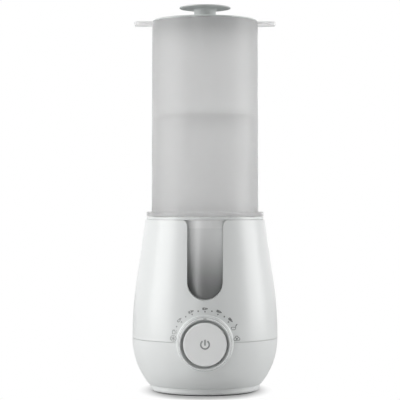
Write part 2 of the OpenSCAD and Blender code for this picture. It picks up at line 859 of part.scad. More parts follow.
module sterilizer_tube() {
    seat_r = tube_r(tray_z) - tube_t - tray_seat_w;
    color("silver", 0.6) {
        rotate_extrude() polygon([[skirt_r - skirt_t, tube_z - skirt_h], [skirt_r, tube_z - skirt_h],
            [skirt_r, tube_z], [flange_d / 2, tube_z], [flange_d / 2, tube_z + flange_h],
            [tube_r(tube_z + flange_h), tube_z + flange_h], [tube_top_d / 2, rim_z],
            [tube_top_d / 2 - tube_t, rim_z], [tube_r(tray_z) - tube_t, tray_z], [seat_r, tray_z],
            [seat_r, tray_z - tray_seat_t],
            [tube_r(tray_z - 2 * tray_seat_t) - tube_t, tray_z - tray_seat_t - tray_seat_w],
            [tube_r(tube_z + floor_t) - tube_t, tube_z + floor_t], [skirt_r - skirt_t, tube_z + floor_t]]);
        translate([0, 0, tube_z]) linear_extrude(floor_t) difference() {
            union() {
                for (k = [0 : floor_bars - 1]) rotate(180 * k / floor_bars)
                    square([2 * (skirt_r - skirt_t / 2), floor_bar], center = true);
                circle(r = floor_hub_r);
                difference() {
                    circle(r = floor_ring_r);
                    circle(r = floor_ring_r - floor_bar);
                }
            }
            circle(r = floor_hub_r - floor_bar);
        }
        translate([0, 0, rim_z - tab_t]) linear_extrude(tab_t) difference() {
            for (turn = [0, 180]) rotate(turn) tab_outline();
            circle(r = tube_top_d / 2 - tube_t / 2);
        }
    }
}

module parts_tray() {
    color("lightgray") translate([0, 0, tray_z]) {
        linear_extrude(tray_t) difference() {
            circle(r = tray_r);
            around(tray_holes, tray_hole_pcd) circle(r = tray_hole_r);
            around(tray_vents, tray_vent_pcd) circle(r = tray_vent_r);
        }
        ring(tray_r - tray_wall, tray_r, tray_rim_h);
    }
}

module lid() {
    color("darkgray") translate([0, 0, rim_z]) difference() {
        union() {
            cylinder(d = lid_d, h = lid_t);
            translate([0, 0, -plug_h]) ring(plug_r - plug_t, plug_r, plug_h + lid_t / 2);
        }
        translate([0, 0, -over]) cylinder(r = clear_r, h = lid_t + 2 * over);
        around(vents, vent_pcd) translate([0, 0, -over]) cylinder(r = vent_r, h = lid_t + 2 * over);
    }
}

module lid_knob() {
    color("darkgray") translate([0, 0, rim_z + lid_t]) difference() {
        rotate_extrude() {
            square([knob_stem_d / 2, knob_h - cap_t / 2]);
            intersection() {
                translate([0, knob_h - cap_arc_r]) circle(r = cap_arc_r, $fn = fine_fn);
                translate([0, knob_h - cap_t + cap_arc_r]) circle(r = cap_arc_r, $fn = fine_fn);
                translate([0, knob_h - cap_t]) square([knob_d / 2, cap_t - cap_flat]);
            }
        }
        translate([0, 0, -over]) cylinder(r = pilot_r, h = knob_screw_l + over);
    }
}

module knob_screw() {
    color("silver") translate([0, 0, rim_z]) rotate([180, 0, 0]) screw(knob_screw_l);
}

bottom_cover();
base_pad();
cover_screws();
lower_housing();
upper_housing();
housing_screws();
cord_bushing();
chamber_cup();
rim_ring();
heater_gasket();
heater_plate();
heater_clamp();
heater_screws();
heating_element();
temperature_sensor();
thermal_cutout();
heater_leads();
dial_bezel();
bezel_screws();
dial_ring();
dial_gear();
power_button();
button_carrier();
switch_plunger();
tact_switch();
control_board();
control_screws();
encoder_body();
encoder_pinion();
power_board();
board_screws();
power_relay();
filter_capacitor();
power_transformer();
terminal_block();
sterilizer_tube();
parts_tray();
lid();
lid_knob();
knob_screw();
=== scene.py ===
import bpy
import bmesh
import json
import math
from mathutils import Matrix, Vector


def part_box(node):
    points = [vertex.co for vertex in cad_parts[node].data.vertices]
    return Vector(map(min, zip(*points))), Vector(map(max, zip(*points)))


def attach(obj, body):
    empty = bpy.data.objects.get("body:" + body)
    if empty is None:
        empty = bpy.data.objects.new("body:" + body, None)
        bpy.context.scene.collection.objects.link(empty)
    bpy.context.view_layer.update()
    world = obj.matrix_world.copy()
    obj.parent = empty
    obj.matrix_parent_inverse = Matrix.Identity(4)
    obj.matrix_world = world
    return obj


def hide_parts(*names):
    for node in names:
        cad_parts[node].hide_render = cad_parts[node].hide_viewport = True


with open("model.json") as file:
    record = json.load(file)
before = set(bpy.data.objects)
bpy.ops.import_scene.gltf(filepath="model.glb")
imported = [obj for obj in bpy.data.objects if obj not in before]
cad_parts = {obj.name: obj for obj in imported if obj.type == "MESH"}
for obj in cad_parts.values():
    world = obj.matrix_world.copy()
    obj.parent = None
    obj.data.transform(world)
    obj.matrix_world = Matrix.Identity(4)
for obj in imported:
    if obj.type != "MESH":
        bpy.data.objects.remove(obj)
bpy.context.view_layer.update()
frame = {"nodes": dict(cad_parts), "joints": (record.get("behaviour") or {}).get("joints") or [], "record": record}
nodes = frame["nodes"]
mm = 0.001
dialZ = next(joint["pos_m"][2] for joint in frame["joints"] if joint["name"] == "dial_turn")
weld = 0.002 * mm  # points closer than this become one
near = 0.003 * mm  # a point this close to a corner is that corner
flat = 0.01 * mm  # an edge that rises less than this lies level
smoothAngle = math.radians(32)
print("frame loaded:", len(nodes), "nodes")


class Wire:  # a socket that can be used in sums, and each sum adds a Math node
    def __init__(self, tree, socket=None):
        self.tree = tree
        self.socket = socket

    def node(self, kind, settings=None, sockets=None, out=0):
        made = self.tree.nodes.new("ShaderNode" + kind)
        for key, value in (settings or {}).items():
            setattr(made, key, value)
        for key, value in (sockets or {}).items():
            self.join(value, made.inputs[key])
        return Wire(self.tree, made.outputs[out])

    def join(self, value, socket):
        if isinstance(value, Wire):
            self.tree.links.new(value.socket, socket)
        else:
            socket.default_value = value

    def math(self, operation, first, second=0.0):
        return self.node("Math", {"operation": operation}, {0: first, 1: second})

    def __add__(self, other):
        return self.math("ADD", self, other)

    def __sub__(self, other):
        return self.math("SUBTRACT", self, other)

    def __rsub__(self, other):
        return self.math("SUBTRACT", other, self)

    def __mul__(self, other):
        return self.math("MULTIPLY", self, other)

    __radd__ = __add__
    __rmul__ = __mul__


def blendColors(wire, share, first, second):
    ends = [end if isinstance(end, Wire) else end + (1,) for end in (first, second)]
    return wire.node("Mix", {"data_type": "RGBA"}, {0: share, 6: ends[0], 7: ends[1]}, out=2)


def startFinish(name, constants):
    mat = bpy.data.materials.new(name)
    mat.use_nodes = True
    shader = mat.node_tree.nodes["Principled BSDF"]
    for key, value in constants.items():
        shader.inputs[key].default_value = value
    place = Wire(mat.node_tree).node("TexCoord", out="Object")
    return mat, shader, place


surface = {"cloudDetail": 3.0, "grainDetail": 2.0, "stainDetail": 4.0, "bumpDepth": 0.1 * mm,
           "edgeSamples": 6}


def speckle(place, scale, detail):
    return place.node("TexNoise", None, {"Vector": place, "Scale": scale, "Detail": detail})


def onAxis(place, axis):
    return place.node("SeparateXYZ", None, {0: place}, out=axis)


def fade(place, value, start, end):  # 0 at the start, 1 at the end
    return place.node("MapRange", None, {0: value, 1: start, 2: end})


def distance(place, stretch):  # from the origin, once the axes are stretched
    drawn = place.node("Mapping", None, {"Vector": place, "Scale": stretch})
    return place.node("VectorMath", {"operation": "LENGTH"}, {0: drawn}, out="Value")


def uneven(look, noise):  # gloss that varies with a noise about 0.5
    return look["gloss"] + (noise - 0.5) * look["glossSpread"]


def roughen(place, shader, height, look):  # bump over edges that the Bevel node softens
    soft = place.node("Bevel", {"samples": surface["edgeSamples"]}, {"Radius": look["edge"]})
    bump = place.node("Bump", None, {"Strength": look["grainDepth"], "Distance": surface["bumpDepth"],
                                     "Height": height, "Normal": soft})
    place.join(bump, shader.inputs["Normal"])


# Moulded plastic or rubber: cloudy tint, uneven gloss, fine eroded grain and softened edges
def mouldedFinish(name, look):
    mat, shader, place = startFinish(name, look["constants"])
    cloud = speckle(place, look["cloudScale"], surface["cloudDetail"])
    grain = speckle(place, look["grainScale"], surface["grainDetail"])
    shade = blendColors(place, cloud, look["color"], look["tint"])
    if "plug" in look:  # painted shade: the plug below the lid's plate is darker, as it sits in shade inside the tube
        plugPaintedShade = fade(place, onAxis(place, "Z"), look["plugTop"], look["plugTop"] - look["plugFade"])
        shade = blendColors(place, plugPaintedShade, shade, look["plug"])
    place.join(shade, shader.inputs["Base Color"])
    place.join(uneven(look, cloud), shader.inputs["Roughness"])
    roughen(place, shader, grain, look)
    return mat


# Frosted plastic: milkier at the flange; paler at the tray's seat, partly as milkiness and partly as painted light
# over the tray's shade; duller there and on the tabs
def frostFinish(name, look):
    mat, shader, place = startFinish(name, look["constants"])
    height = onAxis(place, "Z")
    reach = distance(place, (1.0, 1.0, 0.0))  # from the upright axis
    flange = fade(place, height, look["flange"] + look["flangeFade"], look["flange"])
    tabs = fade(place, reach, look["wallR"] + look["tabFade"][0], look["wallR"] + look["tabFade"][1])
    seat = fade(place, place.math("ABSOLUTE", height - look["seat"]), *look["seatFade"])
    cloud = speckle(place, look["cloudScale"], surface["cloudDetail"])
    grain = speckle(place, look["grainScale"], surface["grainDetail"])
    thin = blendColors(place, cloud, look["color"], look["tint"])
    # the seat's paler band is partly milkiness and partly painted light over the tray's shade
    milk = place.math("MAXIMUM", flange, seat * look["seatMilkAndLightShare"])
    thick = place.math("MAXIMUM", milk, tabs)
    place.join(blendColors(place, milk, thin, look["milky"]), shader.inputs["Base Color"])
    place.join(uneven(look, cloud) + thick * look["thickGloss"], shader.inputs["Roughness"])
    roughen(place, shader, grain, look)
    return mat


# Smoke tinted cup with painted light: it is painted darker downwards as painted shade, and a paler band is painted
# at the top where the lit skirt of the tube stands behind
def smokeWithPaintedLightFinish(name, look):
    mat, shader, place = startFinish(name, look["constants"])
    height = onAxis(place, "Z")
    # painted shade: the tint darkens from the skirt down to the deep end
    depth = place.node("MapRange", {"interpolation_type": "SMOOTHSTEP"},
                       {0: height, 1: look["deep"], 2: look["skirt"]})
    # painted light: a paler band at the skirt's foot
    paintedSkirtBand = fade(place, height, look["skirt"] - look["skirtFade"], look["skirt"] + look["skirtFade"])
    grain = speckle(place, look["grainScale"], surface["grainDetail"])
    tint = blendColors(place, depth, look["color"], look["tint"])
    place.join(blendColors(place, paintedSkirtBand, tint, look["paintedSkirtLight"]), shader.inputs["Base Color"])
    place.join(uneven(look, grain), shader.inputs["Roughness"])
    roughen(place, shader, grain, look)
    return mat


# Printed scale: the ink is painted paler towards the left, as painted light on the brightly lit left side
def inkFinish(name, look):
    mat, shader, place = startFinish(name, look["constants"])
    # painted light: the ink fades paler towards the lit left side
    awayFromPaintedLight = fade(place, onAxis(place, "X"), -look["reach"], 0.0)
    grain = speckle(place, look["grainScale"], surface["grainDetail"])
    place.join(blendColors(place, awayFromPaintedLight, look["color"], look["tint"]), shader.inputs["Base Color"])
    place.join(uneven(look, grain), shader.inputs["Roughness"])
    roughen(place, shader, grain, look)
    return mat


# Turned or drawn metal: fine rings about the upright axis, with stains that dull the gloss
def metalFinish(name, look):
    mat, shader, place = startFinish(name, look["constants"])
    rings = place.node("TexNoise", {"noise_dimensions": "1D"},
                       {"W": distance(place, look["rings"]), "Scale": 1.0,
                        "Detail": surface["stainDetail"]})
    stain = speckle(place, look["cloudScale"], surface["stainDetail"])
    place.join(blendColors(place, stain, look["color"], look["tint"]), shader.inputs["Base Color"])
    place.join(uneven(look, stain) + (rings - 0.5) * look["ringSpread"], shader.inputs["Roughness"])
    roughen(place, shader, rings, look)
    return mat


# Circuit board: solder mask over a grid of tracks that shows as paler lines
def boardFinish(name, look):
    mat, shader, place = startFinish(name, look["constants"])
    tracks = place.node("TexBrick", {"offset": look["trackStep"]},
                        {"Vector": place, "Scale": look["cloudScale"], "Mortar Size": look["trackW"],
                         "Mortar Smooth": look["trackSoft"]}, out="Fac")
    place.join(blendColors(place, tracks, look["color"], look["tint"]), shader.inputs["Base Color"])
    place.join(look["gloss"] + tracks * look["glossSpread"], shader.inputs["Roughness"])
    roughen(place, shader, tracks, look)
    return mat


# Taped winding: level wraps of tape, each lapping the last
def windingFinish(name, look):
    mat, shader, place = startFinish(name, look["constants"])
    wraps = place.node("TexWave", {"bands_direction": "Z", "wave_profile": "SAW"},
                       {"Vector": place, "Scale": look["cloudScale"], "Distortion": look["wander"]})
    place.join(blendColors(place, wraps, look["color"], look["tint"]), shader.inputs["Base Color"])
    place.join(look["gloss"] + wraps * look["glossSpread"], shader.inputs["Roughness"])
    roughen(place, shader, wraps, look)
    return mat


plain = {"cloudScale": 30.0, "grainScale": 3000.0, "grainDepth": 0.05, "gloss": 0.45,
         "glossSpread": 0.08, "edge": 0.4 * mm, "constants": {}, "make": mouldedFinish}
metal = {"cloudScale": 60.0, "rings": (9000.0, 9000.0, 0.0), "ringSpread": 0.2, "grainDepth": 0.12,
         "gloss": 0.3, "glossSpread": 0.2, "edge": 0.2 * mm, "constants": {"Metallic": 1.0},
         "make": metalFinish}
looks = {  # one for each material slot of the record
    "housing_white": {"color": (0.745, 0.763, 0.758), "tint": (0.763, 0.778, 0.773), "gloss": 0.3},
    "trim_white": {"color": (0.72, 0.738, 0.733), "tint": (0.738, 0.752, 0.748), "gloss": 0.2},
    "button_grey": {"color": (0.91, 0.92, 0.915), "tint": (0.925, 0.935, 0.93), "grainDepth": 0.1},
    "frame_grey": {"color": (0.7, 0.71, 0.71), "tint": (0.73, 0.74, 0.74), "gloss": 0.5},
    # the plug colour is painted shade for the part of the lid that sits inside the tube
    "lid_grey": {"color": (0.59, 0.613, 0.607), "tint": (0.613, 0.636, 0.629), "gloss": 0.5,
                 "grainDepth": 0.1, "plug": (0.4, 0.411, 0.408), "plugFade": 0.4 * mm,
                 "plugTop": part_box("sterilizer_tube")[1].z - 0.3 * mm},
    "tray_grey": {"color": (0.945, 0.95, 0.945), "tint": (0.96, 0.965, 0.96), "gloss": 0.5},
    "frosted_grey": {"color": (0.849, 0.85, 0.85), "tint": (0.869, 0.87, 0.87),
                     "milky": (0.99, 0.99, 0.99), "gloss": 0.7, "thickGloss": 0.12, "seatMilkAndLightShare": 0.25,
                     "grainDepth": 0.1,
                     "flange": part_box("rim_ring")[1].z + 4.5 * mm, "flangeFade": mm, "wallR": 47.9 * mm,
                     "tabFade": (0.2 * mm, mm), "seat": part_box("parts_tray")[0].z - mm,
                     "seatFade": (3 * mm, 1.5 * mm), "make": frostFinish,
                     "constants": {"Transmission Weight": 0.8, "IOR": 1.2, "Specular IOR Level": 0.1,
                                   "Coat Weight": 0.27, "Coat IOR": 1.5, "Coat Roughness": 0.35}},
    # the cup's colours hold painted shade downwards and painted light at the skirt
    "smoke_clear": {"color": (0.11, 0.114, 0.114), "tint": (0.84, 0.85, 0.848),
                    "paintedSkirtLight": (0.95, 0.955, 0.953), "gloss": 0.3, "deep": 84 * mm,
                    "skirt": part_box("sterilizer_tube")[0].z, "skirtFade": 0.5 * mm, "make": smokeWithPaintedLightFinish,
                    "constants": {"Transmission Weight": 0.15, "IOR": 1.5, "Coat Weight": 1.0,
                                  "Coat IOR": 1.9, "Coat Roughness": 0.26}},
    "rubber_grey": {"color": (0.03, 0.03, 0.031), "tint": (0.045, 0.045, 0.046), "gloss": 0.75,
                    "grainDepth": 0.2},
    "silicone_red": {"color": (0.42, 0.07, 0.045), "tint": (0.48, 0.09, 0.06), "gloss": 0.55},
    "phenolic_tan": {"color": (0.3, 0.19, 0.1), "tint": (0.36, 0.23, 0.13), "gloss": 0.5,
                     "cloudScale": 300.0},
    "gear_natural": {"color": (0.78, 0.74, 0.62), "tint": (0.82, 0.79, 0.68), "gloss": 0.4},
    "switch_black": {"color": (0.018, 0.018, 0.019), "tint": (0.03, 0.03, 0.031), "gloss": 0.42},
    "relay_blue": {"color": (0.03, 0.08, 0.36), "tint": (0.04, 0.1, 0.42), "gloss": 0.35},
    "block_green": {"color": (0.05, 0.28, 0.09), "tint": (0.07, 0.33, 0.11), "gloss": 0.4},
    "board_green": {"color": (0.015, 0.14, 0.05), "tint": (0.04, 0.24, 0.09), "gloss": 0.3,
                    "cloudScale": 160.0, "trackStep": 0.35, "trackW": 0.04, "trackSoft": 0.2,
                    "make": boardFinish},
    "coil_yellow": {"color": (0.62, 0.42, 0.05), "tint": (0.72, 0.52, 0.1), "gloss": 0.35,
                    "cloudScale": 120.0, "wander": 0.4, "make": windingFinish},
    "plate_steel": {"color": (0.56, 0.57, 0.575), "tint": (0.63, 0.635, 0.64), **metal},
    "steel": {"color": (0.5, 0.51, 0.53), "tint": (0.6, 0.61, 0.62), **metal},
    "element_aluminium": {"color": (0.52, 0.525, 0.53), "tint": (0.6, 0.6, 0.605), **metal,
                          "gloss": 0.42},
    "can_aluminium": {"color": (0.02, 0.03, 0.12), "tint": (0.03, 0.045, 0.16), "gloss": 0.25},
    "sensor_brass": {"color": (0.55, 0.38, 0.13), "tint": (0.66, 0.47, 0.18), **metal},
}
printed = {
    # the scale ink's paler colour is painted light on the lit left side
    "scaleInk": {"color": (0.38, 0.385, 0.385), "tint": (0.17, 0.173, 0.173), "gloss": 0.55,
                 "reach": 26 * mm, "edge": 0.05 * mm, "make": inkFinish},
    "symbolInk": {"color": (0.29, 0.3, 0.3), "tint": (0.33, 0.34, 0.34), "gloss": 0.55},
}
finishes = {}
for slot, look in {**looks, **printed}.items():
    recipe = {**plain, **look}
    finishes[slot] = recipe["make"](slot, recipe)
for part in frame["record"]["subparts"]:
    skin = nodes[part["node"]].data.materials
    skin.clear()
    skin.append(finishes[part["material_slot"]])
print("finishes made:", len(finishes))


def clearSelection():
    if bpy.context.mode != "OBJECT":
        bpy.ops.object.mode_set(mode="OBJECT")
    bpy.ops.object.select_all(action="DESELECT")


def makeActive(piece):
    clearSelection()
    piece.select_set(True)
    bpy.context.view_layer.objects.active = piece


def pick(piece, kind, test):  # selects by place in edit mode
    bpy.ops.mesh.select_mode(type=kind)
    bpy.ops.mesh.select_all(action="DESELECT")
    mesh = bmesh.from_edit_mesh(piece.data)
    mesh.normal_update()
    for item in {"VERT": mesh.verts, "EDGE": mesh.edges}[kind]:
        if test(item):
            item.select_set(True)
    bmesh.update_edit_mesh(piece.data)


# Draws an outline through the corners, which are places with the radius that rounds each
def traceOutline(name, corners, closed=True, roundSteps=5):
    clearSelection()
    bpy.ops.mesh.primitive_plane_add(size=mm)
    piece = bpy.context.object
    piece.name = name
    bpy.ops.object.mode_set(mode="EDIT")
    bpy.ops.mesh.select_mode(type="VERT")
    bpy.ops.mesh.merge(type="CENTER")
    places = [Vector(place) for place, radius in corners]
    bpy.ops.transform.translate(value=places[0])
    for before, after in zip(places, places[1:]):
        bpy.ops.mesh.extrude_vertices_move(TRANSFORM_OT_translate={"value": after - before})
    if closed:
        pick(piece, "VERT", lambda v: min((v.co - places[0]).length, (v.co - places[-1]).length) < near)
        bpy.ops.mesh.edge_face_add()
    for k, (place, radius) in enumerate(corners):
        if radius:
            before, after = places[k - 1], places[(k + 1) % len(places)]
            turn = (before - places[k]).angle(after - places[k])
            pick(piece, "VERT", lambda v: (v.co - places[k]).length < near)
            bpy.ops.mesh.bevel(offset=radius / math.tan(turn / 2), segments=roundSteps, affect="VERTICES")
    return piece


def turnPiece(name, outline, axis, closed=True, steps=120):  # outline: radius, height, rounding, in mm
    if axis == "Z":
        place, centre, along = (lambda r, h: (r * mm, 0, h * mm)), (0, 0, 0), (0, 0, 1)
    else:  # the dial's axis, with heights measured to the front
        place, centre, along = (lambda r, h: (r * mm, -h * mm, dialZ)), (0, 0, dialZ), (0, 1, 0)
    corners = [(place(r, h), radius * mm) for r, h, radius in outline]
    piece = traceOutline(name, corners, closed)
    bpy.ops.mesh.select_all(action="SELECT")
    bpy.ops.mesh.spin(steps=steps, angle=2 * math.pi, center=centre, axis=along)
    closeSeams()
    return piece


def closeSeams():
    bpy.ops.mesh.select_all(action="SELECT")
    bpy.ops.mesh.remove_doubles(threshold=weld)
    bpy.ops.mesh.normals_make_consistent(inside=False)


def fillOutline(raised=None):  # the outline becomes a face, and a plate where it is raised
    bpy.ops.mesh.select_all(action="SELECT")
    bpy.ops.mesh.edge_face_add()
    if raised:
        bpy.ops.mesh.extrude_region_move(TRANSFORM_OT_translate={"value": raised})
        closeSeams()


def block(left, foot, right, top, radius):  # the corners of a rounded rectangle, in mm
    return [(left, foot, radius), (right, foot, radius), (right, top, radius), (left, top, radius)]


def softBar(size, middle, turn, edge):  # a bar with softened edges, in mm
    clearSelection()
    bpy.ops.mesh.primitive_cube_add(size=mm, scale=size, rotation=(0, 0, turn),
                                    location=[at * mm for at in middle])
    bar = bpy.context.object
    bpy.ops.object.transform_apply(location=True, rotation=True, scale=True)
    bpy.ops.object.mode_set(mode="EDIT")
    bpy.ops.mesh.bevel(offset=edge * mm, segments=2, affect="EDGES")
    return bar


def combine(piece, tool, operation):
    makeActive(piece)
    join = piece.modifiers.new("join", "BOOLEAN")
    join.operation = operation
    join.object = tool
    bpy.ops.object.modifier_apply(modifier=join.name)
    bpy.data.objects.remove(tool)


def finishPiece(piece, body, slot, *replaced, ink=None):
    makeActive(piece)
    bpy.ops.object.shade_smooth_by_angle(angle=smoothAngle)
    piece.data.materials.clear()
    piece.data.materials.append(finishes[ink or slot])
    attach(piece, body)
    if replaced:
        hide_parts(*replaced)
    print("piece made:", piece.name, len(piece.data.polygons), "faces")


# Frosted tube: skirt, flange, tapered wall with the tray's seat, two tabs and a floor grid
tubeLow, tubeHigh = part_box("sterilizer_tube")
tube = {"wall": 2.0, "footR": 47.9, "topR": 47.4, "skirtR": 44.6, "skirtWall": 2.0, "flangeH": 4.5,
        "floor": 2.4, "seatW": 1.2, "seatT": 1.0, "tabT": 3.0, "tabDrop": 0.05, "tabCorner": 4.0,
        "tabEdge": 0.9, "tabSteps": 4, "tabHalfW": 10.0, "tabRoot": 46.0, "gridRings": ((10, 14), (26, 30)),
        "gridBars": 6, "gridBar": 4.0, "gridEdge": 0.4, "gridRound": 0.5, "gridPlay": 0.05,
        "skirtInRound": 0.7, "skirtOutRound": 0.9, "skirtRootRound": 0.6, "flangeUnderRound": 0.7,
        "flangeOverRound": 1.1, "flangeRootRound": 0.5, "rimOutRound": 0.3, "rimInRound": 0.9,
        "seatRootRound": 0.4, "seatEdgeRound": 0.5, "seatUnderRound": 0.6, "seatSlopeRound": 0.8,
        "floorRootRound": 1.0, "floorEdgeRound": 0.5}
tubeTop = tubeHigh.z / mm
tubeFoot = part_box("rim_ring")[1].z / mm
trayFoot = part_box("parts_tray")[0].z / mm


def tubeWall(z):
    return tube["footR"] + (tube["topR"] - tube["footR"]) * (z - tubeFoot) / (tubeTop - tubeFoot)


flangeR, flangeTop = tubeHigh.y / mm, tubeFoot + tube["flangeH"]
tabTop = tubeTop - tube["tabDrop"]
tabFoot = tabTop - tube["tabT"]
floorTop = tubeFoot + tube["floor"]
skirtIn, skirtFoot = tube["skirtR"] - tube["skirtWall"], tubeLow.z / mm
seatR = tubeWall(trayFoot) - tube["wall"] - tube["seatW"]
seatFoot = trayFoot - tube["seatT"]
seatSlope = seatFoot - tube["seatW"]
tubePiece = turnPiece("sterilizerTube", [
    (skirtIn, skirtFoot, tube["skirtInRound"]), (tube["skirtR"], skirtFoot, tube["skirtOutRound"]),
    (tube["skirtR"], tubeFoot, tube["skirtRootRound"]), (flangeR, tubeFoot, tube["flangeUnderRound"]),
    (flangeR, flangeTop, tube["flangeOverRound"]),
    (tubeWall(flangeTop), flangeTop, tube["flangeRootRound"]),
    (tubeWall(tubeTop), tubeTop, tube["rimOutRound"]),
    (tubeWall(tubeTop) - tube["wall"], tubeTop, tube["rimInRound"]),
    (tubeWall(trayFoot) - tube["wall"], trayFoot, tube["seatRootRound"]),
    (seatR, trayFoot, tube["seatEdgeRound"]), (seatR, seatFoot, tube["seatUnderRound"]),
    (tubeWall(seatSlope) - tube["wall"], seatSlope, tube["seatSlopeRound"]),
    (tubeWall(floorTop) - tube["wall"], floorTop, tube["floorRootRound"]),
    (skirtIn, floorTop, tube["floorEdgeRound"])], "Z")
tabCorner, tabZ = tube["tabCorner"] * mm, tabFoot * mm
for reach in (tubeLow.x, tubeHigh.x):  # a tab is a plate with a round edge, rooted in the wall
    side = math.copysign(mm, reach)
    root, half = tube["tabRoot"] * side, tube["tabHalfW"] * mm
    tab = traceOutline("tab", [((root, -half, tabZ), 0), ((reach, -half, tabZ), tabCorner),
                               ((reach, half, tabZ), tabCorner), ((root, half, tabZ), 0)])
    fillOutline(raised=(0, 0, tube["tabT"] * mm))
    pick(tab, "EDGE", lambda e: abs(e.verts[0].co.z - e.verts[1].co.z) < flat
         and any(abs(v.co.x - root) > flat for v in e.verts))
    bpy.ops.mesh.bevel(offset=tube["tabEdge"] * mm, segments=tube["tabSteps"], affect="EDGES")
    closeSeams()
    combine(tubePiece, tab, "UNION")
gridLow, gridHigh = tubeFoot + tube["gridPlay"], floorTop - tube["gridPlay"]
for inner, outer in tube["gridRings"]:
    ring = turnPiece("gridRing", block(inner, gridLow, outer, gridHigh, tube["gridRound"]), "Z")
    combine(tubePiece, ring, "UNION")
hubMiddle = sum(tube["gridRings"][0]) / 2
barLength = tube["skirtR"] - tube["skirtWall"] / 2 - hubMiddle
barMiddle = hubMiddle + barLength / 2
for k in range(tube["gridBars"]):
    turn = 2 * math.pi * k / tube["gridBars"]
    middle = (barMiddle * math.cos(turn), barMiddle * math.sin(turn), (gridLow + gridHigh) / 2)
    bar = softBar((barLength, tube["gridBar"], gridHigh - gridLow), middle, turn, tube["gridEdge"])
    combine(tubePiece, bar, "UNION")
finishPiece(tubePiece, "tube", "frosted_grey", "sterilizer_tube")

# Lid: a flat plate with a soft edge and a plug that enters the tube, with vents for the steam
lidLow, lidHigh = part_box("lid")
lid = {"plugR": 44.9, "plugWall": 2.0, "screwR": 1.6, "vents": 3, "ventR": 1.5, "ventOut": 32.0,
       "ventCut": 6.0, "ventSteps": 32, "plugRound": 0.6, "rootRound": 0.3, "underRound": 0.4,
       "edgeRound": 0.9}
lidR, lidFoot, lidTop = lidHigh.x / mm, lidLow.z / mm, lidHigh.z / mm
plugIn = lid["plugR"] - lid["plugWall"]
lidPiece = turnPiece("steamLid", [
    (lid["screwR"], tubeTop, 0), (plugIn, tubeTop, lid["plugRound"]), (plugIn, lidFoot, lid["plugRound"]),
    (lid["plugR"], lidFoot, lid["edgeRound"]), (lid["plugR"], tubeTop, lid["rootRound"]),
    (lidR, tubeTop, lid["underRound"]), (lidR, lidTop, lid["edgeRound"]), (lid["screwR"], lidTop, 0)], "Z")
for k in range(lid["vents"]):
    turn = 2 * math.pi * k / lid["vents"]
    clearSelection()
    bpy.ops.mesh.primitive_cylinder_add(vertices=lid["ventSteps"], radius=lid["ventR"] * mm,
                                        depth=lid["ventCut"] * mm,
                                        location=(lid["ventOut"] * mm * math.cos(turn),
                                                  lid["ventOut"] * mm * math.sin(turn), lidTop * mm))
    combine(lidPiece, bpy.context.object, "DIFFERENCE")
finishPiece(lidPiece, "lid", "lid_grey", "lid")

# Knob: a stem that swells into a lens-shaped cap
knobLow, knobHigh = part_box("lid_knob")
knob = {"stemR": 9.7, "capT": 2.8, "crown": 0.8, "screwR": 1.35, "screwDeep": 8.0, "footRound": 0.3,
        "neckRound": 1.6, "edgeRound": 0.55, "underShares": (0.56, 0.7, 0.83, 0.92),
        "overShares": (0.92, 0.83, 0.7, 0.56, 0.4, 0.2)}
knobR, knobFoot, knobTop = knobHigh.x / mm, knobLow.z / mm, knobHigh.z / mm


def capUnder(r):
    return knobTop - knob["capT"] + knob["crown"] * (r / knobR) ** 2


def capOver(r):
    return knobTop - knob["crown"] * (r / knobR) ** 2


screwTop = knobFoot + knob["screwDeep"]
knobPiece = turnPiece("lidKnob", [
    (0, screwTop, 0), (knob["screwR"], screwTop, 0), (knob["screwR"], knobFoot, 0),
    (knob["stemR"], knobFoot, knob["footRound"]),
    (knob["stemR"], capUnder(knob["stemR"]), knob["neckRound"]),
    *[(knobR * share, capUnder(knobR * share), 0) for share in knob["underShares"]],
    (knobR, capUnder(knobR), knob["edgeRound"]), (knobR, capOver(knobR), knob["edgeRound"]),
    *[(knobR * share, capOver(knobR * share), 0) for share in knob["overShares"]],
    (0, knobTop, 0)], "Z", closed=False)
finishPiece(knobPiece, "lid", "lid_grey", "lid_knob")

# Ring on the base's top edge
ringLow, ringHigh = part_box("rim_ring")
rim = {"bore": 45.3, "lip": 50.8, "lipH": 1.2, "lipRound": 0.2, "footRound": 0.5, "topRound": 0.8}
ringR, ringFoot, ringTop = ringHigh.x / mm, ringLow.z / mm, ringHigh.z / mm
rimPiece = turnPiece("rimRing", [
    (rim["bore"], ringFoot + rim["lipH"], rim["lipRound"]), (rim["lip"], ringFoot + rim["lipH"], 0),
    (rim["lip"], ringFoot, rim["lipRound"]), (ringR, ringFoot, rim["footRound"]),
    (ringR, ringTop, rim["topRound"]), (rim["bore"], ringTop, rim["topRound"])], "Z")
finishPiece(rimPiece, "base", "trim_white", "rim_ring")

# Dial ring: a hollow hub, a web and a drafted flank with a rolled lip
dialBack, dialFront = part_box("dial_ring")
dial = {"boreR": 12.3, "hubR": 15.0, "seatR": 13.4, "seatL": 4.0, "webDeep": 5.0, "webT": 2.2,
        "dishR": 19.45, "lipR": 22.2, "lipIn": 21.3, "hubRound": 0.2, "flankRound": 0.6,
        "lipOutRound": 0.45, "lipInRound": 0.6, "dishRound": 0.8, "boreRound": 0.3}
flankR, lipF, hubF = dialFront.x / mm, -dialBack.y / mm, -dialFront.y / mm
webF = lipF - dial["webDeep"]
webBack, seatF = webF - dial["webT"], hubF + dial["seatL"]
dialPiece = turnPiece("dialRing", [
    (dial["boreR"], hubF, 0), (dial["seatR"], hubF, dial["hubRound"]), (dial["seatR"], seatF, 0),
    (dial["hubR"], seatF, dial["hubRound"]), (dial["hubR"], webBack, dial["hubRound"]),
    (flankR, webBack, dial["flankRound"]), (dial["lipR"], lipF, dial["lipOutRound"]),
    (dial["lipIn"], lipF, dial["lipInRound"]), (dial["dishR"], webF, dial["dishRound"]),
    (dial["boreR"], webF, dial["boreRound"])], "dial")
finishPiece(dialPiece, "dial", "trim_white", "dial_ring")

